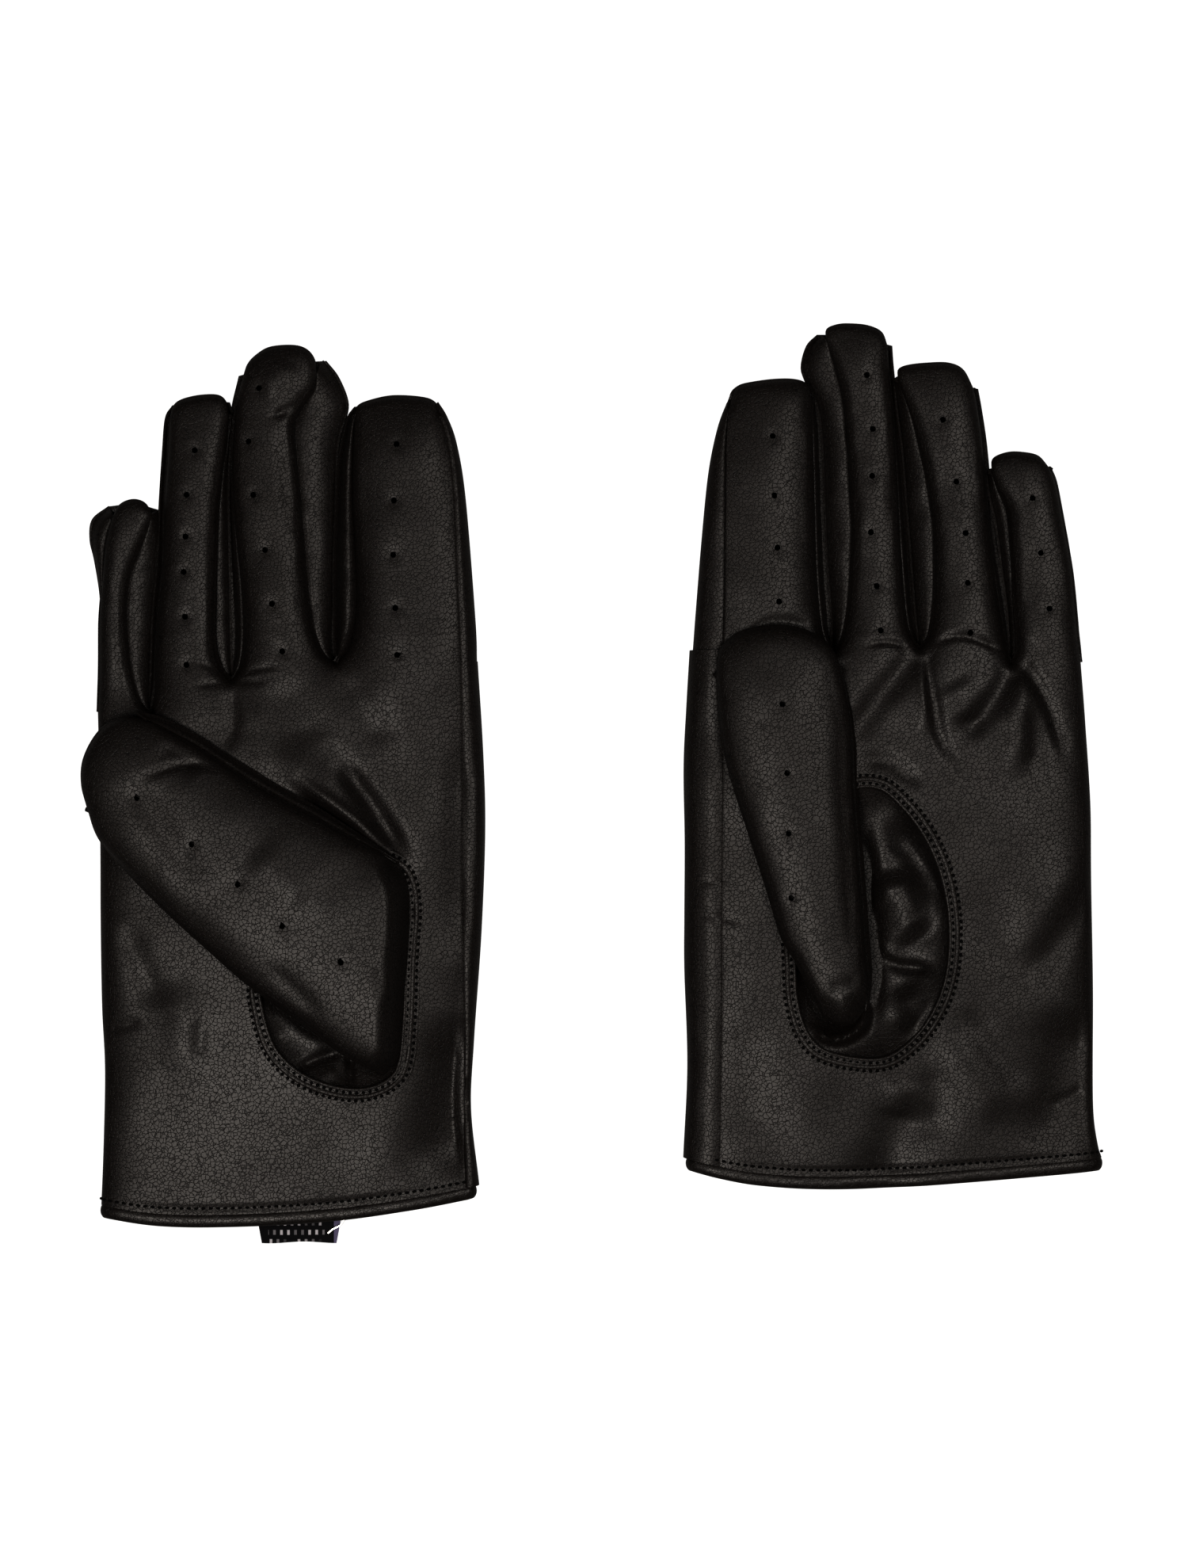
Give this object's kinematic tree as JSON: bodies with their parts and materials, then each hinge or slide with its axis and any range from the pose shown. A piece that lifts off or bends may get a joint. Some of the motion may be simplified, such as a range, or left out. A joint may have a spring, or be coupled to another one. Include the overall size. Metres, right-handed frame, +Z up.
{
  "type": "pair of driving gloves",
  "caption": "Pair of leather driving gloves lying palm up, with perforated finger fronts, oval thumb seams, bound cuffs and curling fingers.",
  "frame": {"origin": "on the table, under the middle of the pair's bounding box", "axes": "+X from the right-hand glove to the left-hand one, +Y from the cuffs to the fingertips, +Z up out of the palms"},
  "size_m": [0.2742, 0.2477, 0.0218],
  "materials": {
    "leather": "black grained leather with a soft sheen",
    "lining": "thin black knit",
    "label": "woven black tape with a satin face",
    "steel": "bright bent wire"
  },
  "bodies": {
    "right_palm": {"right_palm_panel": "leather", "right_back_panel": "leather", "right_cuff_binding": "leather", "right_lining": "lining", "right_thumb_gusset": "leather", "right_thumb_welt": "leather", "right_crotch_index_middle": "leather", "right_crotch_middle_ring": "leather", "right_crotch_ring_little": "leather", "right_size_label": "label", "right_tag_pin": "steel"},
    "right_index": {"right_index_front": "leather", "right_index_back": "leather", "right_index_fourchette": "leather"},
    "right_middle": {"right_middle_front": "leather", "right_middle_back": "leather", "right_middle_fourchette_ring_side": "leather", "right_middle_fourchette_index_side": "leather"},
    "right_ring": {"right_ring_front": "leather", "right_ring_back": "leather", "right_ring_fourchette_little_side": "leather", "right_ring_fourchette_middle_side": "leather"},
    "right_little": {"right_little_front": "leather", "right_little_back": "leather", "right_little_fourchette": "leather"},
    "right_thumb": {"right_thumb_front": "leather", "right_thumb_back": "leather"},
    "left_palm": {"left_palm_panel": "leather", "left_back_panel": "leather", "left_cuff_binding": "leather", "left_lining": "lining", "left_thumb_gusset": "leather", "left_thumb_welt": "leather", "left_crotch_index_middle": "leather", "left_crotch_middle_ring": "leather", "left_crotch_ring_little": "leather"},
    "left_index": {"left_index_front": "leather", "left_index_back": "leather", "left_index_fourchette": "leather"},
    "left_middle": {"left_middle_front": "leather", "left_middle_back": "leather", "left_middle_fourchette_ring_side": "leather", "left_middle_fourchette_index_side": "leather"},
    "left_ring": {"left_ring_front": "leather", "left_ring_back": "leather", "left_ring_fourchette_little_side": "leather", "left_ring_fourchette_middle_side": "leather"},
    "left_little": {"left_little_front": "leather", "left_little_back": "leather", "left_little_fourchette": "leather"},
    "left_thumb": {"left_thumb_front": "leather", "left_thumb_back": "leather"}
  },
  "joints": [
    {"name": "left_glove_lift", "type": "slide", "parent": "right_palm", "child": "left_palm", "axis": [0, 0, 1], "range_m": [0, 0.15]},
    {"name": "right_index_curl", "type": "hinge", "parent": "right_palm", "child": "right_index", "pos_m": [-0.051, 0.0405, 0.012], "axis": [1, 0, 0], "range_deg": [0, 80]},
    {"name": "right_middle_curl", "type": "hinge", "parent": "right_palm", "child": "right_middle", "pos_m": [-0.0834, 0.0405, 0.012], "axis": [1, 0, 0], "range_deg": [0, 80]},
    {"name": "right_ring_curl", "type": "hinge", "parent": "right_palm", "child": "right_ring", "pos_m": [-0.1085, 0.036, 0.012], "axis": [1, 0, 0], "range_deg": [0, 80]},
    {"name": "right_little_curl", "type": "hinge", "parent": "right_palm", "child": "right_little", "pos_m": [-0.1266, 0.027, 0.012], "axis": [1, 0, 0], "range_deg": [0, 80]},
    {"name": "left_index_curl", "type": "hinge", "parent": "left_palm", "child": "left_index", "pos_m": [0.0451, 0.044, 0.012], "axis": [1, 0, 0], "range_deg": [0, 80]},
    {"name": "left_middle_curl", "type": "hinge", "parent": "left_palm", "child": "left_middle", "pos_m": [0.0753, 0.0445, 0.012], "axis": [1, 0, 0], "range_deg": [0, 80]},
    {"name": "left_ring_curl", "type": "hinge", "parent": "left_palm", "child": "left_ring", "pos_m": [0.0989, 0.0445, 0.012], "axis": [1, 0, 0], "range_deg": [0, 80]},
    {"name": "left_little_curl", "type": "hinge", "parent": "left_palm", "child": "left_little", "pos_m": [0.1214, 0.0405, 0.012], "axis": [1, 0, 0], "range_deg": [0, 80]},
    {"name": "right_thumb_swing", "type": "hinge", "parent": "right_palm", "child": "right_thumb", "pos_m": [-0.049, -0.048, 0.0133], "axis": [0.0723, 0.9974, 0], "range_deg": [0, 90]},
    {"name": "left_thumb_swing", "type": "hinge", "parent": "left_palm", "child": "left_thumb", "pos_m": [0.066, -0.062, 0.0133], "axis": [0.9947, 0.1029, 0], "range_deg": [0, 75]}
  ]
}
